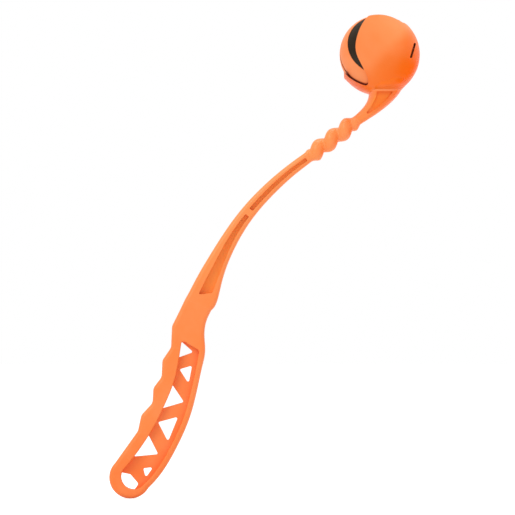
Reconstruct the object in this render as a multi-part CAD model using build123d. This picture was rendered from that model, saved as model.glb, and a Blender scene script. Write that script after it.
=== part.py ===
from build123d import *
from math import cos, pi, radians, sin, sqrt
import os

# A dog ball thrower with its ball in the cup. The thrower is one plastic moulding, modelled as its natural
# sections. It lies in its own side plane: X forward, Z up, Y through the thickness, with the origin at the
# middle of the grip.

# The layout, from the middle of the grip to the ball's centre
throw_reach = 164.4
throw_rise = 275.0

# The handle: a flat frame with finger grooves, around a thin web
grip_width = 33.0
grip_thickness = 18.0
groove_rounding = 7.0
window_corner = 2.0
web_thickness = 5.0
opening_corner = 1.1
eye_corner = 2.0

# The shaft: a bowed beam with a sunk channel in each face
shaft_root_width = 23.0
shaft_tip_width = 9.0
shaft_tip_thickness = 11.0
shaft_tip_rounding = 3.0
channel_web = 4.6
channel_corner = 1.0

# The neck: one coarse rounded thread between the shaft and the throat
neck_length = 51.0
neck_slope = 36.9
thread_pitch = 14.3
thread_mean_radius = 5.9
thread_height = 1.85
thread_fade = 8.0
thread_front_share = 0.47
notch_softness = 0.02
sections_per_turn = 12
tip_squareness = 3.4
neck_squareness = 2.6
neck_end_width = 8.4
neck_end_depth = 11.0

# The throat: it flares from the neck into the cup, and ends in a level ledge
ledge_drop = 28.6
ledge_setback = 5.2
ledge_width = 26.8
ledge_depth = 40.0
throat_pocket_depth = 1.4

# The cup: a bowl round the ball, with straight walls beyond its middle, so that the ball can leave it
cup_clearance = 0.3
cup_wall = 1.5
cup_aim = 136.0
ear_reach = 31.0
ear_gap = 24.0
ear_gap_corner = 6.0
ear_gap_angle = 52.0
ear_end_angle = 60.0
lip_corner = 2.0
slot_width = 1.7
slot_inset = 8.0

# The ball: a hollow black core of two halves, with orange covers set into it
ball_diameter = 63.0
core_wall = 5.6
cover_thickness = 1.6
band_relief = 0.5
cover_rounding = 0.4
equator_band = 2.6
cap_angle = 38.0
ring_angle = 58.5
pole_azimuth = -85.0
pole_elevation = 26.7

# What the cutting shapes run past the faces that they cut
overrun = 2.0
outside_share = 1.4

ball_radius = ball_diameter / 2
cup_inner = ball_radius + cup_clearance
cup_outer = cup_inner + cup_wall

# The spine of handle and shaft, as shares of the reach and of the rise, from the butt to the neck
spine_shares = [(-0.214, -0.237), (-0.116, -0.161), (-0.025, -0.051), (0.026, 0.049), (0.061, 0.135),
                (0.085, 0.218), (0.166, 0.328), (0.314, 0.498), (0.539, 0.644), (0.650, 0.696)]
butt_slope = 53.0
spine = Spline(*[(x * throw_reach, z * throw_rise) for x, z in spine_shares],
               tangents=[(cos(radians(butt_slope)), sin(radians(butt_slope))),
                         (cos(radians(neck_slope)), sin(radians(neck_slope)))])

# Where the sections meet, as shares of the spine's length
head_share = 0.374
butt_share = 0.030
root_share = 0.500
window_share = 0.400

# The rails, the butt and the rounded edges of the handle, as shares of the grip width
finger_rail_share = 0.309
palm_rail_share = 0.145
butt_reach_share = 0.579
butt_rail_share = 0.282
rim_rounding_share = 0.103
rail_edge_share = 0.030

# The edges of the handle: share of the spine, and share of the grip width towards that side
finger_edge_shares = [(0.545, 0.330), (root_share, 0.349), (0.470, 0.368), (0.430, 0.462), (0.372, 0.404),
                      (0.330, 0.542), (0.285, 0.452), (0.250, 0.573), (0.208, 0.479), (0.162, 0.627),
                      (0.112, 0.524), (0.0, 0.506)]
palm_edge_shares = [(0.0, 0.515), (0.060, 0.539), (0.120, 0.503), (0.200, 0.500), (0.260, 0.482),
                    (0.340, 0.445), (0.378, 0.434), (0.420, 0.358), (0.470, 0.333), (root_share, 0.349),
                    (0.545, 0.336)]

# The inner edge of the finger rail: share of the spine, and share of the grip width, before the rail's width
finger_inner_shares = [(0.398, 0.485), (0.349, 0.470), (0.283, 0.440), (0.206, 0.500), (0.159, 0.530),
                       (0.113, 0.550), (0.0, 0.555)]

# The edge of the web at the hanging eye: back from the spine's start, and to the fingers, of the grip width
eye_edge_shares = [(0.120, 0.290), (0.0, 0.040), (0.068, -0.262), (0.420, -0.262), (0.420, 0.290)]

# The six openings of the web: corners as share of the spine, and share of the grip width towards the fingers
opening_shares = [[(0.396, 0.205), (0.371, -0.152), (0.3475, 0.192)],
                  [(0.318, 0.079), (0.336, -0.194), (0.287, -0.230)],
                  [(0.277, 0.195), (0.237, -0.242), (0.201, 0.229)],
                  [(0.162, 0.182), (0.196, -0.224), (0.127, -0.245)],
                  [(0.118, 0.258), (0.087, -0.200), (0.0405, 0.264)],
                  [(0.034, -0.118), (0.053, -0.291), (0.018, -0.306)]]

# The shaft: share of the spine, width and thickness from the root, 1, to the tip, 0, and lean to the fingers
shaft_station_shares = [(root_share, 1.0, 1.0, 0.0), (0.550, 0.95, 0.94, -0.01), (0.600, 0.66, 0.84, 0.04),
                        (0.650, 0.45, 0.70, 0.03), (0.700, 0.32, 0.56, 0.01), (0.775, 0.20, 0.38, 0.015),
                        (0.850, 0.13, 0.24, 0.02), (0.925, 0.06, 0.11, 0.005), (1.0, 0.0, 0.0, 0.0)]

# The channels' edges, each to the fingers and to the palm: share of the spine, and share of the root width
long_channel_shares = ([(0.524, 0.150), (0.565, 0.157), (0.620, 0.125), (0.680, 0.090), (0.775, 0.055)],
                       [(0.545, -0.255), (0.600, -0.205), (0.660, -0.155), (0.720, -0.120), (0.775, -0.105)])
short_channel_shares = ([(0.793, 0.083), (0.860, 0.080), (0.930, 0.062), (0.996, 0.040)],
                        [(0.793, -0.070), (0.860, -0.072), (0.930, -0.078), (0.996, -0.090)])

# The rim of the ears and the edge of the lip, seen from the side, as shares of the ball's radius
ear_rim_shares = [(-0.279, -0.813), (-0.292, -0.62), (-0.368, -0.44), (-0.47, -0.235), (-0.575, 0.0),
                  (-0.60, 0.229), (-0.55, 0.486), (-0.444, 0.74), (-0.267, 0.97)]
lip_edge_shares = [(-0.885, -0.455), (-0.77, -0.59), (-0.61, -0.697), (-0.41, -0.787), (-0.279, -0.813)]
lip_root_shares = [(-0.279, -1.3), (-0.279, -0.813), (-0.60, -0.55), (-1.3, -0.20), (-1.3, -1.3)]
slot_shares = [(0.924, 0.26), (0.825, -0.08)]
section_points = 24

# The stations of the throat, from the neck's end to the ledge: place, turn, width and depth
throat_station_shares = [(0.0, 0.0, 0.0, 0.0, 0.0), (0.277, 0.189, 0.17, 0.08, 0.05),
                         (0.710, 0.553, 0.66, 0.43, 0.45), (1.0, 1.0, 1.0, 1.0, 1.0)]

# The pocket in each side of the throat, in the same shares of place
throat_pocket_shares = [(0.712, 0.943), (1.306, 0.943), (1.119, 0.742), (0.822, 0.480), (0.530, 0.279),
                        (0.196, 0.115), (0.457, 0.410), (0.639, 0.709)]


def beside(share, offset):
    """A point of the side plane, part of the way up the spine and set off towards the fingers."""
    foot = spine @ share
    along = spine % share
    return (foot.X - along.Y * offset, foot.Y + along.X * offset)


def station(share):
    """The plane square to the spine at a share of its length, with its x towards the fingers."""
    foot = spine @ share
    along = spine % share
    return Plane(origin=(foot.X, 0, foot.Y), x_dir=(-along.Y, 0, along.X), z_dir=(along.X, 0, along.Y))


def upright(outline, half_depth):
    """A prism through the thickness, from an outline of the side plane."""
    return extrude(Plane.XZ * make_face(outline), half_depth, both=True)


def rounded_prism(points, corner, half_depth):
    """A prism from straight runs with rounded corners."""
    return upright(FilletPolyline(*points, radius=corner, close=True), half_depth)


# The handle

finger_points = [beside(share, width * grip_width) for share, width in finger_edge_shares]
palm_points = [beside(share, -width * grip_width) for share, width in palm_edge_shares]
butt_along = spine % 0


def behind(back, offset):
    """A point of the side plane behind the spine's start, set off towards the fingers."""
    foot = spine @ 0 - butt_along * back
    return (foot.X - butt_along.Y * offset, foot.Y + butt_along.X * offset)


def handle_window():
    """The outline of the room between the rails."""
    fingers = Spline(*[beside(share, (width - finger_rail_share) * grip_width)
                       for share, width in finger_inner_shares])
    palm = Spline(*[beside(share, (palm_rail_share - width) * grip_width)
                    for share, width in palm_edge_shares if share < window_share])
    bottom = ThreePointArc(fingers @ 1, behind((butt_reach_share - butt_rail_share) * grip_width, 0), palm @ 0)
    top = Line(palm @ 1, fingers @ 0)
    window = make_face([fingers, bottom, palm, top])
    return fillet(window.vertices().sort_by(Axis.Y)[-2:], window_corner)


def handle_frame():
    """Head, rails and butt in one, as far as the root of the shaft, with their edges rounded."""
    fingers = FilletPolyline(*finger_points, radius=groove_rounding)
    palm = Spline(*palm_points)
    butt = ThreePointArc(finger_points[-1], behind(butt_reach_share * grip_width, 0), palm_points[0])
    top = Line(palm_points[-1], finger_points[0])
    plate = extrude(Plane.XZ * make_face([fingers, butt, palm, top]), grip_thickness / 2, both=True)
    plate -= extrude(Plane.XZ * handle_window(), grip_thickness, both=True)
    sides = plate.faces().sort_by(Axis.Y)
    inner = sides[0].inner_wires()[0].edges() + sides[-1].inner_wires()[0].edges()
    plate = fillet(inner, rail_edge_share * grip_width)
    sides = plate.faces().sort_by(Axis.Y)
    outer = sides[0].outer_wire().edges() + sides[-1].outer_wire().edges()
    plate = fillet(outer, rim_rounding_share * grip_width)
    return split(plate, station(root_share), keep=Keep.BOTTOM)


def truss_web():
    """The thin web in the window, with its six openings, cut away at the hanging eye."""
    web = extrude(Plane.XZ * handle_window(), web_thickness / 2, both=True)
    for corners in opening_shares:
        points = [beside(share, width * grip_width) for share, width in corners]
        web -= rounded_prism(points, opening_corner, web_thickness)
    eye = [behind(back * grip_width, width * grip_width) for back, width in eye_edge_shares]
    return web - rounded_prism(eye, eye_corner, web_thickness)


# The shaft

def channel(edge_shares):
    """A sunk channel between two edges along the shaft, as tools for both faces."""
    fingers, palm = [[beside(share, width * shaft_root_width) for share, width in edge] for edge in edge_shares]
    outline = make_face([Spline(*fingers), Line(fingers[-1], palm[-1]), Spline(*palm), Line(palm[0], fingers[0])])
    outline = fillet(outline.vertices(), channel_corner)
    tool = extrude(Plane.XZ.offset(channel_web / 2) * outline, grip_thickness)
    return tool + mirror(tool, about=Plane.XZ)


def shaft_beam():
    """The bowed beam from the head to the neck, with its channels."""
    root_rounding = rim_rounding_share * grip_width
    sections = []
    for share, width_share, depth_share, lean in shaft_station_shares:
        width = shaft_tip_width + (shaft_root_width - shaft_tip_width) * width_share
        depth = shaft_tip_thickness + (grip_thickness - shaft_tip_thickness) * depth_share
        rounding = shaft_tip_rounding + (root_rounding - shaft_tip_rounding) * depth_share
        place = station(share) * Pos(lean * shaft_root_width, 0)
        sections.append(place * RectangleRounded(width, depth, rounding))
    return loft(sections) - channel(long_channel_shares) - channel(short_channel_shares)


# The neck

def closed_section(plane, radius_at):
    """A smooth closed face on a plane, from its radius at even angles."""
    angles = [2 * pi * step / section_points for step in range(section_points)]
    points = [(radius_at(angle) * cos(angle), radius_at(angle) * sin(angle)) for angle in angles]
    return plane * make_face(Spline(*points, periodic=True))


def oval(width, depth, squareness):
    """The radius of a rounded rectangle at each angle."""
    def radius_at(angle):
        across = abs(cos(angle) / (width / 2)) ** squareness
        through = abs(sin(angle) / (depth / 2)) ** squareness
        return (across + through) ** (-1 / squareness)
    return radius_at


def smooth(share):
    """An even rise from 0 to 1."""
    share = min(max(share, 0), 1)
    return share * share * (3 - 2 * share)


neck_start = station(1.0)


def neck_thread():
    """The straight neck: a rounded thread, one start, that fades out at both ends."""
    tip = oval(shaft_tip_width, shaft_tip_thickness, tip_squareness)
    end = oval(neck_end_width, neck_end_depth, neck_squareness)
    count = round(neck_length / thread_pitch * sections_per_turn)
    sections = []
    for step in range(count + 1):
        along = neck_length * step / count
        full = smooth(along / thread_fade) * smooth((neck_length - along) / thread_fade)
        turn = 2 * pi * (along - neck_length * thread_front_share) / thread_pitch

        def radius_at(angle):
            from_ridge = angle - pi / 2 + turn
            wave = 2 * sqrt(cos(from_ridge / 2) ** 2 * (1 - notch_softness) + notch_softness) - 1
            share = smooth(along / neck_length)
            plain = tip(angle) * (1 - share) + end(angle) * share
            return plain * (1 - full) + (thread_mean_radius + thread_height * wave) * full

        sections.append(closed_section(neck_start.offset(along), radius_at))
    return loft(sections)


# The throat and the cup

neck_end = neck_start.offset(neck_length).origin
ball_centre = Vector(throw_reach, 0, throw_rise)
ledge_centre = ball_centre + Vector(ledge_setback, 0, -ledge_drop)


def throat_point(across, up):
    """A point of the side plane, in shares of the way from the neck's end to the ledge."""
    return (neck_end.X + (ledge_centre.X - neck_end.X) * across, neck_end.Z + (ledge_centre.Z - neck_end.Z) * up)


def throat_flare(inset):
    """The throat as one flared loft, made thinner from both sides by an inset."""
    sections = []
    for across, up, turn, width_share, depth_share in throat_station_shares:
        x, z = throat_point(across, up)
        slope = radians(neck_slope + (90 - neck_slope) * turn)
        plane = Plane(origin=(x, 0, z), x_dir=(-sin(slope), 0, cos(slope)), z_dir=(cos(slope), 0, sin(slope)))
        width = neck_end_width + (ledge_width - neck_end_width) * width_share
        depth = neck_end_depth + (ledge_depth - neck_end_depth) * depth_share
        sections.append(closed_section(plane, oval(width, depth - 2 * inset, neck_squareness)))
    return loft(sections)


def cup_solid(radius):
    """A ball with a straight run towards the mouth, as long as the ears."""
    profile = make_face([Line((0, -radius), (0, ear_reach)), Line((0, ear_reach), (radius, ear_reach)),
                         Line((radius, ear_reach), (radius, 0)),
                         ThreePointArc((radius, 0), (radius * sin(pi / 4), -radius * cos(pi / 4)), (0, -radius))])
    return cup_plane * revolve(Plane.XZ * profile, Axis.Z)


cup_axis = Vector(cos(radians(cup_aim)), 0, sin(radians(cup_aim)))
cup_plane = Plane(origin=ball_centre, x_dir=(0, 1, 0), z_dir=cup_axis)


def seen(points):
    """Points of the side plane, from shares of the ball's radius about its centre."""
    return [(ball_centre.X + x * ball_radius, ball_centre.Z + z * ball_radius) for x, z in points]


def cup_outline():
    """The side view of the whole cup: the rim of the ears, the ball's limb, and the edge of the lip."""
    rim = seen(ear_rim_shares)
    lip = seen(lip_edge_shares)
    limb = sqrt(sum(share ** 2 for share in ear_rim_shares[-1]))
    end, back = radians(ear_end_angle), radians(cup_aim) - pi / 2
    places = [((end + pi / 2) / 2, limb), (end, limb), (end, (limb + cup_outer / ball_radius) / 2),
              (back, cup_outer / ball_radius), (back, outside_share)]
    middle, limb_end, *step = seen([(share * cos(angle), share * sin(angle)) for angle, share in places])
    box = seen([(outside_share, outside_share), (outside_share, -outside_share),
                (lip_edge_shares[0][0], -outside_share)])
    outline = make_face([Spline(*rim), ThreePointArc(rim[-1], middle, limb_end),
                         Polyline(limb_end, *step, *box, lip[0]), Spline(*lip)])
    return fillet(outline.vertices().sort_by_distance((rim[0][0], rim[0][1], 0))[0], lip_corner)


def cup_shell():
    """The cup's wall, cut to its side view, with the gap between the ears and a slot in each."""
    shell = cup_solid(cup_outer) - cup_solid(cup_inner)
    shell &= extrude(Plane.XZ * cup_outline(), cup_outer * outside_share, both=True)
    gap_end = cup_outer * cos(radians(ear_gap_angle))
    gap_length = gap_end + cup_outer * outside_share
    gap = Rectangle(gap_length, ear_gap)
    gap = fillet(gap.vertices().group_by(Axis.X)[-1], ear_gap_corner)
    top = Plane(origin=ball_centre + Vector(gap_end - gap_length / 2, 0, 0))
    shell -= extrude(top * gap, cup_outer * outside_share)
    first, last = [Vector(*point) for point in seen(slot_shares)]
    along = last - first
    slot = SlotCenterToCenter(along.length, slot_width).rotate(Axis.Z, along.get_signed_angle(Vector(1, 0, 0)))
    slot = Pos((first + last) / 2) * slot
    tool = extrude(Plane.XZ.offset(slot_inset) * slot, cup_outer)
    return shell - tool - mirror(tool, about=Plane.XZ)


def lip_room():
    """The room of the lip, below the ears and in front of the throat."""
    return extrude(Plane.XZ * make_face(Polyline(*seen(lip_root_shares), close=True)), cup_outer, both=True)


def cup_throat():
    """The throat under the cup, with a pocket sunk in each side."""
    throat = throat_flare(0)
    pocket = [throat_point(across, up) for across, up in throat_pocket_shares]
    tool = rounded_prism(pocket, channel_corner, ledge_depth)
    throat -= tool - throat_flare(throat_pocket_depth)
    return throat - cup_solid(cup_outer)


# The ball

pole = Vector(cos(radians(pole_elevation)) * cos(radians(pole_azimuth)),
              cos(radians(pole_elevation)) * sin(radians(pole_azimuth)), sin(radians(pole_elevation)))
ball_plane = Plane(origin=ball_centre, x_dir=pole.cross(Vector(0, 1, 0)), z_dir=pole)


def band(first, last, inner, outer):
    """Half the section of a shell round the ball's pole, between two angles from it and two radii."""
    def at(angle, radius):
        return (radius * sin(radians(angle)), radius * cos(radians(angle)))
    middle = (first + last) / 2
    return make_face([Line(at(first, inner), at(first, outer)), Line(at(last, outer), at(last, inner)),
                      ThreePointArc(at(first, outer), at(middle, outer), at(last, outer)),
                      ThreePointArc(at(last, inner), at(middle, inner), at(first, inner))])


def turned(section):
    """The solid of a section, turned round the pole."""
    return revolve(Plane.XZ * section, Axis.Z)


equator_angle = 90 - (equator_band / 2) / ball_radius * 180 / pi
cover_floor = ball_radius - cover_thickness


def ball_core():
    """One black half, with the seats of its two covers sunk into it."""
    half = band(0, 90, ball_radius - core_wall, ball_radius - band_relief)
    half -= band(0, cap_angle, cover_floor, ball_radius + overrun)
    half -= band(ring_angle, equator_angle, cover_floor, ball_radius + overrun)
    return turned(half)


def ball_cap():
    """The round cover at the pole."""
    section = band(0, cap_angle, cover_floor, ball_radius)
    return turned(fillet(section.vertices().sort_by(Axis.X)[-1], cover_rounding))


def ball_ring():
    """The cover between the side band and the middle band."""
    section = band(ring_angle, equator_angle, cover_floor, ball_radius)
    corners = section.vertices().sort_by_distance((0, 0, 0))[-2:]
    return turned(fillet(corners, cover_rounding))


frame = handle_frame()
rails = split(split(frame, station(head_share), keep=Keep.BOTTOM), station(butt_share), keep=Keep.TOP)
rails = rails.solids().sort_by(Axis.X)
shell = cup_shell()
ears = shell - lip_room()

parts = {
    "grip_head": split(frame, station(head_share), keep=Keep.TOP),
    "finger_rail": rails[0],
    "palm_rail": rails[-1],
    "butt_eye": split(frame, station(butt_share), keep=Keep.BOTTOM),
    "truss_web": truss_web(),
    "shaft_beam": shaft_beam(),
    "neck_thread": neck_thread(),
    "cup_throat": cup_throat(),
    "cup_lip": shell & lip_room(),
    "cup_ear_left": split(ears, Plane.XZ, keep=Keep.BOTTOM),
    "cup_ear_right": split(ears, Plane.XZ, keep=Keep.TOP),
}
for side, flip in (("near", False), ("far", True)):
    for name, make in (("core", ball_core), ("cap", ball_cap), ("ring", ball_ring)):
        piece = make()
        if flip:
            piece = mirror(piece, about=Plane.XY)
        parts[f"ball_{name}_{side}"] = ball_plane * piece

os.makedirs("parts", exist_ok=True)
for name, shape in parts.items():
    export_step(shape, f"parts/{name}.step")
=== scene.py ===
import bpy
from math import acos, atan2, copysign, cos, radians, sin
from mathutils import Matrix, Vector


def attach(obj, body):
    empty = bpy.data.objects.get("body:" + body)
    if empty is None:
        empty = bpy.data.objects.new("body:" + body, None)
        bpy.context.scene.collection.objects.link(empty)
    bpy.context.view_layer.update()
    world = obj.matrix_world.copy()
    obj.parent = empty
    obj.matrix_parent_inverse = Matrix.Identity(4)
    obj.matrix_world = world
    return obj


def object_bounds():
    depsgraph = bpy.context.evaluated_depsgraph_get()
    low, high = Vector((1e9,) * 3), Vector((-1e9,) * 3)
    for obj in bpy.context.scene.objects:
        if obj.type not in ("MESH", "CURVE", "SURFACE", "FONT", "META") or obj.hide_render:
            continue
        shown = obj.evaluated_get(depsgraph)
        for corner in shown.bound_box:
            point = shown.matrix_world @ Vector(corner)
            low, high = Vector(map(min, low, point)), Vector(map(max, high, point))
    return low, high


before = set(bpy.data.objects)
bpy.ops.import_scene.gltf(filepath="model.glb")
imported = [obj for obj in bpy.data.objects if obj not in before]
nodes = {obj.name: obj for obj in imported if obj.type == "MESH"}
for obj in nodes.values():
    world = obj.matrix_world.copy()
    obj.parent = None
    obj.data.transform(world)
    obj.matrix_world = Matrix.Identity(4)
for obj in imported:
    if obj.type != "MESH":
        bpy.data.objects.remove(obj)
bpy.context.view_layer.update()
scene = bpy.context.scene

# The grip: head, finger rail, palm rail and butt of the thrower's one moulding, tough orange polypropylene.
# It comes out of a two part steel mould with a satin skin and a fine parting line round its middle, and
# the hand that holds it polishes the rounded rims.
# The deeper orange is painted shade for corners, pockets and the cup's lip; the worn orange is worn edges,
# scuffs and the parting line, and also a painted highlight on the cup's ledge.
orange = (0.96, 0.200, 0.026, 1)
painted_shade_orange = (0.88, 0.120, 0.010, 1)
worn_and_highlight_orange = (1.0, 0.30, 0.095, 1)
flexed_orange = (0.98, 0.278, 0.060, 1)


def shade_group(name, inputs, outputs):
    """An empty node group with named inputs, each with its start value, and named outputs."""
    group = bpy.data.node_groups.new(name, "ShaderNodeTree")
    kinds = {"value": "NodeSocketFloat", "colour": "NodeSocketColor", "normal": "NodeSocketVector"}
    for label, kind, start in inputs:
        group.interface.new_socket(label, in_out="INPUT", socket_type=kinds[kind]).default_value = start
    for label, kind in outputs:
        group.interface.new_socket(label, in_out="OUTPUT", socket_type=kinds[kind])
    return group, group.nodes.new("NodeGroupInput").outputs, group.nodes.new("NodeGroupOutput").inputs


def maths(tree, kind, first, second=0.0, clamp=False):
    """The output of a Math node; first and second are numbers or outputs."""
    node = tree.nodes.new("ShaderNodeMath")
    node.operation = kind
    node.use_clamp = clamp
    for socket, value in zip(node.inputs, (first, second)):
        if isinstance(value, bpy.types.NodeSocket):
            tree.links.new(value, socket)
        else:
            socket.default_value = value
    return node.outputs[0]


def blend_colours(tree, share, first, second):
    """The output of a colour mix; share is a number or an output, the colours are colours or outputs."""
    node = tree.nodes.new("ShaderNodeMix")
    node.data_type = "RGBA"
    for socket, value in ((node.inputs[0], share), (node.inputs[6], first), (node.inputs[7], second)):
        if isinstance(value, bpy.types.NodeSocket):
            tree.links.new(value, socket)
        else:
            socket.default_value = value
    return node.outputs[2]


def rise(tree, value, low, high):
    """A soft rise from 0 to 1 as the value goes from low to high."""
    node = tree.nodes.new("ShaderNodeMapRange")
    node.interpolation_type = "SMOOTHSTEP"
    tree.links.new(value, node.inputs["Value"])
    node.inputs["From Min"].default_value = low
    node.inputs["From Max"].default_value = high
    return node.outputs["Result"]


def fall(tree, value, low, high):
    """A soft fall from 1 to 0 as the value goes from low to high."""
    return maths(tree, "SUBTRACT", 1.0, rise(tree, value, low, high))


def noise(tree, scale, detail=2.0, roughness=0.5, stretch=None):
    """The value of a noise texture in the object's own coordinates, stretched where it is asked for."""
    place = tree.nodes.new("ShaderNodeTexCoord").outputs["Object"]
    if stretch:
        mapping = tree.nodes.new("ShaderNodeMapping")
        mapping.inputs["Scale"].default_value = stretch
        tree.links.new(place, mapping.inputs["Vector"])
        place = mapping.outputs["Vector"]
    node = tree.nodes.new("ShaderNodeTexNoise")
    node.inputs["Scale"].default_value = scale
    node.inputs["Detail"].default_value = detail
    node.inputs["Roughness"].default_value = roughness
    tree.links.new(place, node.inputs["Vector"])
    return node.outputs["Fac"]


def axes(tree, kind="Object"):
    """The X, Y and Z of a place on the object, or of the way its surface faces where the kind is Normal."""
    split = tree.nodes.new("ShaderNodeSeparateXYZ")
    tree.links.new(tree.nodes.new("ShaderNodeTexCoord").outputs[kind], split.inputs[0])
    return split.outputs


# colour drift: slow swirls of the dye in the melt, and a fine speckle
speckle_strength = 0.07
colour_drift, given, result = shade_group(
    "colour drift", [("Colour", "colour", orange), ("Second Colour", "colour", worn_and_highlight_orange),
                     ("Drift", "value", 0.3)], [("Colour", "colour")])
swirl = rise(colour_drift, noise(colour_drift, scale=38, detail=3, roughness=0.55), 0.35, 0.7)
speckle = maths(colour_drift, "SUBTRACT", noise(colour_drift, scale=900, detail=1), 0.5)
speckle = maths(colour_drift, "MULTIPLY", speckle, speckle_strength)
share = maths(colour_drift, "MULTIPLY", swirl, given["Drift"])
share = maths(colour_drift, "ADD", share, speckle, clamp=True)
drifted = blend_colours(colour_drift, share, given["Colour"], given["Second Colour"])
colour_drift.links.new(drifted, result["Colour"])

# edge rub: where an edge is turned out, broken up by noise, and the normal of the softened edge
edge_rub, given, result = shade_group("edge rub", [("Width", "value", 0.0012), ("Amount", "value", 1.0)],
                                      [("Mask", "value"), ("Soft Normal", "normal")])
rounded = edge_rub.nodes.new("ShaderNodeBevel")
rounded.samples = 16
edge_rub.links.new(given["Width"], rounded.inputs["Radius"])
straight = edge_rub.nodes.new("ShaderNodeNewGeometry").outputs["Normal"]
turned = edge_rub.nodes.new("ShaderNodeVectorMath")
turned.operation = "DOT_PRODUCT"
edge_rub.links.new(rounded.outputs["Normal"], turned.inputs[0])
edge_rub.links.new(straight, turned.inputs[1])
turn = rise(edge_rub, maths(edge_rub, "SUBTRACT", 1.0, turned.outputs["Value"]), 0.01, 0.14)
broken = rise(edge_rub, noise(edge_rub, scale=260, detail=4, roughness=0.6), 0.38, 0.62)
mask = maths(edge_rub, "MULTIPLY", maths(edge_rub, "MULTIPLY", turn, broken), given["Amount"], clamp=True)
edge_rub.links.new(mask, result["Mask"])
edge_rub.links.new(rounded.outputs["Normal"], result["Soft Normal"])

# recess shade: how far a place lies in a corner or a pocket, where painted shade darkens the colour
recess_shade, given, result = shade_group("recess shade", [("Reach", "value", 0.012)], [("Mask", "value")])
openness = recess_shade.nodes.new("ShaderNodeAmbientOcclusion")
openness.samples = 8
recess_shade.links.new(given["Reach"], openness.inputs["Distance"])
recess_shade.links.new(maths(recess_shade, "SUBTRACT", 1.0, openness.outputs["AO"]), result["Mask"])

# moulded skin: the fine satin texture of the mould, faint flow waves, and small scuffs
wave_height, scuff_depth, gloss_swing = 0.6, 0.7, 0.22
moulded_skin, given, result = shade_group(
    "moulded skin", [("Grain", "value", 1.0), ("Scuffs", "value", 0.4)],
    [("Height", "value"), ("Scuff Mask", "value"), ("Gloss Change", "value")])
grain = noise(moulded_skin, scale=2600, detail=2, roughness=0.6)
waves = noise(moulded_skin, scale=110, detail=2, roughness=0.5)
scratches = noise(moulded_skin, scale=150, detail=3, roughness=0.62, stretch=(1, 7, 1.4))
patch = rise(moulded_skin, noise(moulded_skin, scale=24, detail=2), 0.46, 0.62)
scuff = maths(moulded_skin, "MULTIPLY", rise(moulded_skin, scratches, 0.60, 0.72), patch)
scuff = maths(moulded_skin, "MULTIPLY", scuff, given["Scuffs"], clamp=True)
height = maths(moulded_skin, "MULTIPLY", grain, given["Grain"])
height = maths(moulded_skin, "ADD", height, maths(moulded_skin, "MULTIPLY", waves, wave_height))
height = maths(moulded_skin, "SUBTRACT", height, maths(moulded_skin, "MULTIPLY", scuff, scuff_depth))
moulded_skin.links.new(height, result["Height"])
moulded_skin.links.new(scuff, result["Scuff Mask"])
gloss = maths(moulded_skin, "MULTIPLY", maths(moulded_skin, "SUBTRACT", waves, 0.5), gloss_swing)
moulded_skin.links.new(gloss, result["Gloss Change"])

# parting line: the thin ridge where the two mould halves met, along the thrower's middle plane
parting_line, given, result = shade_group("parting line", [("Width", "value", 0.0003)], [("Mask", "value")])
off_plane = maths(parting_line, "ABSOLUTE", axes(parting_line)["Y"])
near = fall(parting_line, maths(parting_line, "DIVIDE", off_plane, given["Width"]), 0.4, 1.0)
facing = maths(parting_line, "ABSOLUTE", axes(parting_line, "Normal")["Y"])
along_rim = fall(parting_line, facing, 0.3, 0.6)
parting_line.links.new(maths(parting_line, "MULTIPLY", near, along_rim), result["Mask"])

# flexed share: the stretch of the thrower that bends at each throw, most between the handle and the cup,
# and a little in the handle above the butt. The heights are where it fades in and out.
butt_heights, head_heights, neck_heights = (-0.065, -0.015), (0.060, 0.120), (0.215, 0.245)
handle_flex, shaft_flex = 0.35, 0.65
flexed_share, _, result = shade_group("flexed share", [], [("Mask", "value")])
rising = axes(flexed_share)["Z"]
in_handle = maths(flexed_share, "MULTIPLY", rise(flexed_share, rising, *butt_heights), handle_flex)
in_shaft = maths(flexed_share, "MULTIPLY", rise(flexed_share, rising, *head_heights), shaft_flex)
bending = maths(flexed_share, "ADD", in_shaft, in_handle)
below_cup = fall(flexed_share, rising, *neck_heights)
flexed_share.links.new(maths(flexed_share, "MULTIPLY", bending, below_cup), result["Mask"])


def place_group(tree, group, **values):
    """A group's node in a material, with its own values."""
    node = tree.nodes.new("ShaderNodeGroup")
    node.node_tree = group
    for label, value in values.items():
        node.inputs[label.replace("_", " ")].default_value = value
    return node


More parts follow.
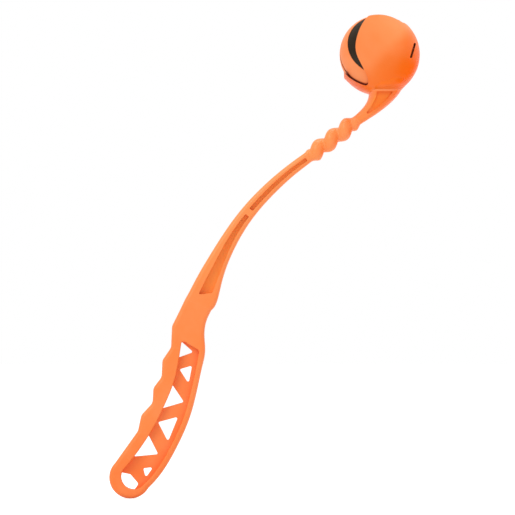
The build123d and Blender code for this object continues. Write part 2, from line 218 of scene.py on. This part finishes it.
def orange_moulding(name, scuffs, rub, recess, roughness, mirror_share):
    """The thrower's orange plastic, with as much wear, gloss and painted shade in its corners as its place
    on the thrower gets.
    """
    scuff_dulling, rub_polish, seam_height = 0.25, 0.10, 1.5
    material = bpy.data.materials.new(name)
    material.use_nodes = True
    tree = material.node_tree
    surface = tree.nodes["Principled BSDF"].inputs
    surface["Specular IOR Level"].default_value = mirror_share
    dye = place_group(tree, colour_drift, Second_Colour=worn_and_highlight_orange, Drift=0.35)
    flexed = place_group(tree, flexed_share).outputs["Mask"]
    tree.links.new(blend_colours(tree, flexed, orange, flexed_orange), dye.inputs["Colour"])
    skin = place_group(tree, moulded_skin, Grain=0.3, Scuffs=scuffs).outputs
    rubbed = place_group(tree, edge_rub, Width=0.0007, Amount=rub).outputs["Mask"]
    hollow = place_group(tree, recess_shade, Reach=0.008).outputs["Mask"]
    seam = place_group(tree, parting_line, Width=0.0003).outputs["Mask"]
    # painted shade: corners and pockets darkened towards a deeper orange
    deep = maths(tree, "MULTIPLY", hollow, recess, clamp=True)
    colour = blend_colours(tree, deep, dye.outputs["Colour"], painted_shade_orange)
    for mask, amount in ((rubbed, 0.5), (skin["Scuff Mask"], 0.35), (seam, 0.3)):
        colour = blend_colours(tree, maths(tree, "MULTIPLY", mask, amount), colour, worn_and_highlight_orange)
    tree.links.new(colour, surface["Base Color"])
    rough = maths(tree, "ADD", roughness, skin["Gloss Change"])
    rough = maths(tree, "ADD", rough, maths(tree, "MULTIPLY", skin["Scuff Mask"], scuff_dulling))
    rough = maths(tree, "SUBTRACT", rough, maths(tree, "MULTIPLY", rubbed, rub_polish), clamp=True)
    tree.links.new(rough, surface["Roughness"])
    bump = tree.nodes.new("ShaderNodeBump")
    bump.inputs["Strength"].default_value = 0.35
    bump.inputs["Distance"].default_value = 0.00012
    raised = maths(tree, "ADD", skin["Height"], maths(tree, "MULTIPLY", seam, seam_height))
    tree.links.new(raised, bump.inputs["Height"])
    tree.links.new(bump.outputs["Normal"], surface["Normal"])
    return material


def dress(names, material):
    """The CAD nodes of these names, shown in this material."""
    for name in names:
        nodes[name].data.materials.clear()
        nodes[name].data.materials.append(material)


dress(["grip_head", "finger_rail", "palm_rail", "butt_eye"],
      orange_moulding("grip plastic", scuffs=0.5, rub=0.9, recess=0.25, roughness=0.42, mirror_share=0.45))

# The truss web: the thin zigzag between the rails, moulded in one with them. It is the part of the handle
# that no hand touches, so it keeps the mould's even skin.
dress(["truss_web"],
      orange_moulding("web plastic", scuffs=0.2, rub=0.5, recess=0.2, roughness=0.46, mirror_share=0.45))

# The shaft and its neck: a bowed, tapering beam with sunk channels, then one coarse thread rolled into the
# neck. Both bend at each throw, which pales the plastic. The floors of the channels are painted paler,
# painted light that offsets the shade that falls in the channels.
channel_light_orange = (1.0, 0.35, 0.043, 1)
channel_floor, floor_blur = 0.0023, (0.0001, 0.0006)
flat_facing = (0.8, 0.95)


def paint_floors(material, distance, colour):
    """Paint the faces that lie flat at this distance from the thrower's middle plane."""
    tree = material.node_tree
    base = tree.nodes["Principled BSDF"].inputs["Base Color"]
    above = maths(tree, "SUBTRACT", maths(tree, "ABSOLUTE", axes(tree)["Y"]), distance)
    facing = maths(tree, "ABSOLUTE", axes(tree, "Normal")["Y"])
    share = maths(tree, "MULTIPLY", fall(tree, above, *floor_blur), rise(tree, facing, *flat_facing))
    tree.links.new(blend_colours(tree, share, base.links[0].from_socket, colour), base)


shaft_plastic = orange_moulding("shaft plastic", scuffs=0.45, rub=0.8, recess=0.0, roughness=0.40,
                                mirror_share=0.45)
# painted light: the channel floors painted a paler orange, offsetting the shade that falls in them
paint_floors(shaft_plastic, channel_floor, channel_light_orange)
dress(["shaft_beam"], shaft_plastic)
dress(["neck_thread"],
      orange_moulding("neck plastic", scuffs=0.45, rub=0.8, recess=0.0, roughness=0.40, mirror_share=0.45))

# The cup: a flared throat, two springy ears and a lip, which goes under the ball first, all in the same
# plastic. The ground scuffs it each time the ears scoop up a ball. Painted shade lies low at the cup's
# back, in the throat's pockets and on the lip, painted light along the pockets' walls, and painted
# highlights on the cup's front and along the edge of the throat's ledge.
# The highlight orange is a painted highlight, the lower back, pocket and shaded oranges are painted shade,
# and the wall orange is painted light that offsets the shadow along the pocket's walls.
lower_back_shade_orange = (1.0, 0.188, 0.008, 1)
highlight_orange = (1.0, 0.320, 0.110, 1)
pocket_shade_orange = (0.97, 0.208, 0.018, 1)
shaded_orange = (0.89, 0.155, 0.014, 1)
wall_light_orange = (1.0, 0.300, 0.045, 1)
ball_middle = Vector((0.1644, 0, 0.275))

# lip shade share: painted shade on the lip and the cup's wall beside it, low at the cup's front. Each pair
# is
# where the painted shade fades out: an X behind the lip, and heights below and above it.
lip_rear, lip_foot, lip_top = (0.147, 0.160), (0.236, 0.244), (0.252, 0.270)
lip_shade_share, _, result = shade_group("lip shade share", [], [("Mask", "value")])
place = axes(lip_shade_share)
in_front = fall(lip_shade_share, place["X"], *lip_rear)
under = maths(lip_shade_share, "MULTIPLY", fall(lip_shade_share, place["Z"], *lip_top),
              rise(lip_shade_share, place["Z"], *lip_foot))
lip_shade_share.links.new(maths(lip_shade_share, "MULTIPLY", in_front, under), result["Mask"])

# ledge highlight share: a painted highlight along the edge of the ledge, from the lip to the back, with its
# height, how far above and below it is painted, and the X where it starts
ledge_height, highlight_widths, ledge_start = 0.2460, (0.0002, 0.0010), (0.1565, 0.1600)
ledge_highlight_share, _, result = shade_group("ledge highlight share", [], [("Mask", "value")])
place = axes(ledge_highlight_share)
off_edge = maths(ledge_highlight_share, "ABSOLUTE", maths(ledge_highlight_share, "SUBTRACT", place["Z"], ledge_height))
level = fall(ledge_highlight_share, off_edge, *highlight_widths)
beyond_lip = rise(ledge_highlight_share, place["X"], *ledge_start)
ledge_highlight_share.links.new(maths(ledge_highlight_share, "MULTIPLY", level, beyond_lip), result["Mask"])


def distance_along(tree, direction):
    """How far a place on the object lies from the origin, along a direction."""
    product = tree.nodes.new("ShaderNodeVectorMath")
    product.operation = "DOT_PRODUCT"
    tree.links.new(tree.nodes.new("ShaderNodeTexCoord").outputs["Object"], product.inputs[0])
    product.inputs[1].default_value = direction
    return product.outputs["Value"]


# throat pocket: the floor of the sunk pocket in each side of the throat, with painted shade, the strip of
# it along its walls, with painted light that offsets their shadow, its front and rear, and its top end,
# with painted shade under the ledge. Each edge is a list of X and Z, going up.
pocket_front_edge = [(0.15195, 0.22482), (0.15768, 0.23202), (0.16328, 0.24501)]
pocket_rear_edge = [(0.15928, 0.22882), (0.16569, 0.23372), (0.17632, 0.24501)]
throat_foot, pocket_top, shaded_heights = (0.226, 0.234), (0.2446, 0.2452), (0.2405, 0.2445)
wall_blur, rear_blur = (-0.0014, 0.0006), (0, 0.0030)
strip_start, strip_end = (-0.0006, -0.0001), (0.0002, 0.0014)
throat_pocket, _, result = shade_group(
    "throat pocket", [], [("Floor", "value"), ("Along Walls", "value"), ("Under Ledge", "value"),
                          ("Front", "value"), ("Rear", "value")])
rising = axes(throat_pocket)["Z"]
inside = []
for edge, side in ((pocket_front_edge, 1), (pocket_rear_edge, -1)):
    for start, end in zip(edge, edge[1:]):
        run = (Vector(end) - Vector(start)).normalized()
        reached = distance_along(throat_pocket, (side * run.y, 0, -side * run.x))
        edge_place = side * (run.y * start[0] - run.x * start[1])
        inside.append(maths(throat_pocket, "SUBTRACT", reached, edge_place))
past_front = maths(throat_pocket, "MAXIMUM", inside[0], inside[1])
before_rear = maths(throat_pocket, "MINIMUM", inside[2], inside[3])
depth_in = maths(throat_pocket, "MINIMUM", past_front, before_rear)
in_throat = maths(throat_pocket, "MULTIPLY", rise(throat_pocket, rising, *throat_foot),
                  fall(throat_pocket, rising, *pocket_top))
on_floor = maths(throat_pocket, "MULTIPLY", rise(throat_pocket, depth_in, *wall_blur), in_throat)
strip = maths(throat_pocket, "MULTIPLY", fall(throat_pocket, depth_in, *strip_end),
              rise(throat_pocket, depth_in, *strip_start))
at_rear = maths(throat_pocket, "MULTIPLY", rise(throat_pocket, past_front, *rear_blur), in_throat)
throat_pocket.links.new(on_floor, result["Floor"])
throat_pocket.links.new(strip, result["Along Walls"])
throat_pocket.links.new(rise(throat_pocket, rising, *shaded_heights), result["Under Ledge"])
throat_pocket.links.new(at_rear, result["Rear"])
throat_pocket.links.new(maths(throat_pocket, "SUBTRACT", in_throat, at_rear), result["Front"])

# cup light and shade: painted shade, a deeper orange low at the cup's back, and a painted highlight, paler,
# at its front. Both are measured from the ball's middle, down towards the back.
shade_direction = Vector((0.70, 0, -0.714))
shade_start, highlight_end = (0.003, 0.021), (-0.002, 0.010)
cup_foot, slot_foot = (0.2452, 0.2460), (0.270, 0.290)
cup_light_and_shade, _, result = shade_group("cup light and shade", [], [("Deep", "value"), ("Pale", "value")])
rising = axes(cup_light_and_shade)["Z"]
way_down = distance_along(cup_light_and_shade, shade_direction)
way_down = maths(cup_light_and_shade, "SUBTRACT", way_down, shade_direction.dot(ball_middle))
deep = maths(cup_light_and_shade, "MULTIPLY", rise(cup_light_and_shade, way_down, *shade_start), rise(cup_light_and_shade, rising, *cup_foot))
deep = maths(cup_light_and_shade, "MULTIPLY", deep, fall(cup_light_and_shade, rising, *slot_foot))
cup_light_and_shade.links.new(deep, result["Deep"])
cup_light_and_shade.links.new(fall(cup_light_and_shade, way_down, *highlight_end), result["Pale"])

cup_plastic = orange_moulding("cup plastic", scuffs=0.7, rub=1.0, recess=0.0, roughness=0.38,
                              mirror_share=0.20)
tree = cup_plastic.node_tree
surface = tree.nodes["Principled BSDF"].inputs
pocket = place_group(tree, throat_pocket).outputs
tones = place_group(tree, cup_light_and_shade).outputs
lip_shade = place_group(tree, lip_shade_share).outputs["Mask"]
ledge_highlight = place_group(tree, ledge_highlight_share).outputs["Mask"]
# the pocket floor: painted shade, painted light along its walls, and painted shade under the ledge
pocket_floor_light_and_shade = blend_colours(tree, pocket["Along Walls"], pocket_shade_orange, wall_light_orange)
pocket_floor_light_and_shade = blend_colours(tree, pocket["Under Ledge"], pocket_floor_light_and_shade, shaded_orange)
painted = surface["Base Color"].links[0].from_socket
# painted highlights on the cup's front and the pocket's front, painted shade low at the cup's back, in the
# pocket and on the lip, and a painted highlight along the ledge's edge
for mask, amount, colour in ((tones["Pale"], 0.45, highlight_orange), (tones["Deep"], 1.0, lower_back_shade_orange),
                             (pocket["Front"], 0.40, highlight_orange), (pocket["Rear"], 0.5, pocket_shade_orange),
                             (pocket["Floor"], 1.0, pocket_floor_light_and_shade), (lip_shade, 0.85, painted_shade_orange),
                             (ledge_highlight, 1.0, worn_and_highlight_orange)):
    painted = blend_colours(tree, maths(tree, "MULTIPLY", mask, amount), painted, colour)
tree.links.new(painted, surface["Base Color"])
dress(["cup_throat", "cup_lip", "cup_ear_left", "cup_ear_right"], cup_plastic)

# The collar: the skirt that carries the throat's ledge smoothly into the cup's underside, from the edge of
# the ledge to just under the cup's skin. It belongs to the same moulding.
cup_radius = 0.0333
skin_share = 0.996
ledge_middle = Vector((0.1696, 0, 0.2464))
half_width, half_depth, squareness = 0.0134, 0.0200, 2.6
half_steps = 48
ledge_edge, cup_edge = [], []
for step in range(-half_steps, half_steps + 1):
    angle = radians(180 * step / half_steps)
    across = copysign(abs(cos(angle)) ** (2 / squareness), cos(angle)) * half_width
    through = copysign(abs(sin(angle)) ** (2 / squareness), sin(angle)) * half_depth
    foot = ledge_middle + Vector((across, through, 0))
    arm = foot - ball_middle
    if arm.length > cup_radius:
        lift = atan2(arm.xy.length, -arm.z) + acos(cup_radius / arm.length)
        outward = Vector((arm.x, arm.y, 0)).normalized()
        touch = outward * sin(lift) - Vector((0, 0, cos(lift)))
        ledge_edge.append(foot)
        cup_edge.append(ball_middle + skin_share * cup_radius * touch)

count = len(ledge_edge)
collar_mesh = bpy.data.meshes.new("collar")
collar_mesh.from_pydata(ledge_edge + cup_edge, [],
                        [(at, at + 1, count + at + 1, count + at) for at in range(count - 1)])
collar_mesh.shade_smooth()
collar_mesh.materials.append(cup_plastic)
collar = bpy.data.objects.new("collar", collar_mesh)
collar_wall = collar.modifiers.new("wall", "SOLIDIFY")
collar_wall.thickness = 0.0004
scene.collection.objects.link(collar)
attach(collar, "thrower")

# The ball: a hollow black rubber core of two halves, with orange rubber covers bonded into its seats.
# Both rubbers are matte. Painted shade darkens them to brown where the cup's edges lie close to the ball.
cover_orange = (0.95, 0.235, 0.050, 1)
cover_pale = (0.95, 0.33, 0.13, 1)
core_black = (0.020, 0.012, 0.005, 1)
core_grey = (0.045, 0.036, 0.026, 1)
shade_brown = (0.12, 0.011, 0.002, 1)
groove_shade_brown = (0.24, 0.028, 0.006, 1)


def moulded_rubber(name, colour, second_colour, roughness, mirror_share, sheen):
    """Matte rubber with a fine grain, painted shade in its corners, and a soft sheen."""
    material = bpy.data.materials.new(name)
    material.use_nodes = True
    tree = material.node_tree
    surface = tree.nodes["Principled BSDF"].inputs
    surface["Specular IOR Level"].default_value = mirror_share
    surface["Sheen Weight"].default_value = sheen
    surface["Sheen Roughness"].default_value = 0.5
    drift = place_group(tree, colour_drift, Colour=colour, Second_Colour=second_colour, Drift=0.5)
    skin = place_group(tree, moulded_skin, Grain=1.4, Scuffs=0.5).outputs
    rubbed = place_group(tree, edge_rub, Width=0.0006, Amount=0.6).outputs
    hollow = place_group(tree, recess_shade, Reach=0.0035).outputs["Mask"]
    worn = maths(tree, "MAXIMUM", skin["Scuff Mask"], rubbed["Mask"])
    shown = blend_colours(tree, maths(tree, "MULTIPLY", worn, 0.5), drift.outputs["Colour"], second_colour)
    # painted shade: brown where the rubber lies in a corner, close to the cup's edges
    shown = blend_colours(tree, rise(tree, hollow, 0.15, 0.80), shown, shade_brown)
    tree.links.new(shown, surface["Base Color"])
    tree.links.new(maths(tree, "ADD", roughness, skin["Gloss Change"]), surface["Roughness"])
    bump = tree.nodes.new("ShaderNodeBump")
    bump.inputs["Strength"].default_value = 0.5
    bump.inputs["Distance"].default_value = 0.0002
    tree.links.new(skin["Height"], bump.inputs["Height"])
    tree.links.new(rubbed["Soft Normal"], bump.inputs["Normal"])
    tree.links.new(bump.outputs["Normal"], surface["Normal"])
    return material


core_rubber = moulded_rubber("core rubber", core_black, core_grey, roughness=0.6, mirror_share=0.12,
                             sheen=0.0)
dress(["ball_core_near", "ball_core_far"], core_rubber)

# painted shade: the groove where the two halves meet, painted a dark red brown for the shadow in the gap
# between the ball and the cup's lip
ball_pole = Vector((0.0779, -0.8900, 0.4493))
groove_shade_widths = (0.0015, 0.0030)
tree = core_rubber.node_tree
base = tree.nodes["Principled BSDF"].inputs["Base Color"]
off_groove = maths(tree, "SUBTRACT", distance_along(tree, ball_pole), ball_middle.dot(ball_pole))
groove_shaded = fall(tree, maths(tree, "ABSOLUTE", off_groove), *groove_shade_widths)
tree.links.new(blend_colours(tree, groove_shaded, base.links[0].from_socket, groove_shade_brown), base)

dress(["ball_cap_near", "ball_cap_far", "ball_ring_near", "ball_ring_far"],
      moulded_rubber("cover rubber", cover_orange, cover_pale, roughness=0.58, mirror_share=0.3, sheen=0.1))

# The studio: a white floor under the butt, a white surround, one soft box at the upper left in front of the
# thrower, and one above the cup.
white = (1, 1, 1, 1)
floor_white = (0.78, 0.78, 0.78, 1)
floor_glow, surround_light, surround_glow = 0.55, 0.75, 0.25


def flat_sheet(name, corners):
    """A flat sheet with these four corners."""
    mesh = bpy.data.meshes.new(name)
    mesh.from_pydata(corners, [], [(0, 1, 2, 3)])
    sheet = bpy.data.objects.new(name, mesh)
    scene.collection.objects.link(sheet)
    return sheet


def matte_paint(sheet, name, colour):
    """Paint a sheet in one matte colour; the paint's node tree and the inputs of its shader."""
    material = bpy.data.materials.new(name)
    material.use_nodes = True
    surface = material.node_tree.nodes["Principled BSDF"].inputs
    surface["Base Color"].default_value = colour
    surface["Roughness"].default_value = 0.9
    sheet.data.materials.append(material)
    return material.node_tree, surface


def seen_only(tree, strength):
    """The extra white that only the camera, the gloss and clear things see."""
    path = tree.nodes.new("ShaderNodeLightPath").outputs
    seen = maths(tree, "MAXIMUM", path["Is Camera Ray"], path["Is Glossy Ray"])
    return maths(tree, "MULTIPLY", maths(tree, "MAXIMUM", seen, path["Is Transmission Ray"]), strength)


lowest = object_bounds()[0][2]
floor_reach = 10.0
floor = flat_sheet("floor", [(-floor_reach, -floor_reach, lowest), (floor_reach, -floor_reach, lowest),
                             (floor_reach, floor_reach, lowest), (-floor_reach, floor_reach, lowest)])
tree, surface = matte_paint(floor, "floor paint", floor_white)
surface["Specular IOR Level"].default_value = 0.0
surface["Emission Color"].default_value = white
tree.links.new(seen_only(tree, floor_glow), surface["Emission Strength"])

world = bpy.data.worlds.new("surround")
scene.world = world
world.use_nodes = True
tree = world.node_tree
sky = tree.nodes["Background"].inputs
sky["Color"].default_value = white
tree.links.new(maths(tree, "ADD", seen_only(tree, surround_glow), surround_light), sky["Strength"])


def soft_box(name, place, target, size, power):
    """A square soft box at a place, turned to its target."""
    data = bpy.data.lights.new(name, "AREA")
    data.energy = power
    data.size = size
    lamp = bpy.data.objects.new(name, data)
    lamp.location = place
    lamp.rotation_euler = (Vector(target) - Vector(place)).to_track_quat("-Z", "Y").to_euler()
    scene.collection.objects.link(lamp)


soft_box("key soft box", place=(-0.9, -1.2, 1.2), target=(0.07, 0, 0.1), size=1.0, power=10.5)
soft_box("top soft box", place=(0.4, 0.1, 1.5), target=(0.12, 0, 0.2), size=1.2, power=11)

# The bounce card: an orange card just out of the frame at the right. It keeps the white surround out of the
# gloss of the cup's lower right side, which glows a deeper orange there.
card_orange = (0.95, 0.16, 0.01, 1)
card_glow = (1, 0.10, 0, 1)
card_right = 0.30
card_front, card_back = -0.08, 0.14
card_foot, card_top = 0.12, 0.25
card = flat_sheet("bounce card", [(card_right, card_front, card_foot), (card_right, card_back, card_foot),
                                  (card_right, card_back, card_top), (card_right, card_front, card_top)])
card.visible_camera = False
_, surface = matte_paint(card, "card paint", card_orange)
surface["Emission Color"].default_value = card_glow
surface["Emission Strength"].default_value = 0.5

# The camera: square on to the thrower's side, far off with a long lens, and as wide as the photograph's
# frame at the thrower's middle plane.
frame_width = 0.4164
frame_middle = Vector((0.0665, 0, 0.1108))
distance = 8.0
camera_data = bpy.data.cameras.new("camera")
camera_data.lens = camera_data.sensor_width * distance / frame_width
camera = bpy.data.objects.new("camera", camera_data)
camera.location = frame_middle + Vector((0, -distance, 0))
camera.rotation_euler = Vector((0, 1, 0)).to_track_quat("-Z", "Z").to_euler()
scene.collection.objects.link(camera)
scene.camera = camera
scene.view_settings.view_transform = "Standard"
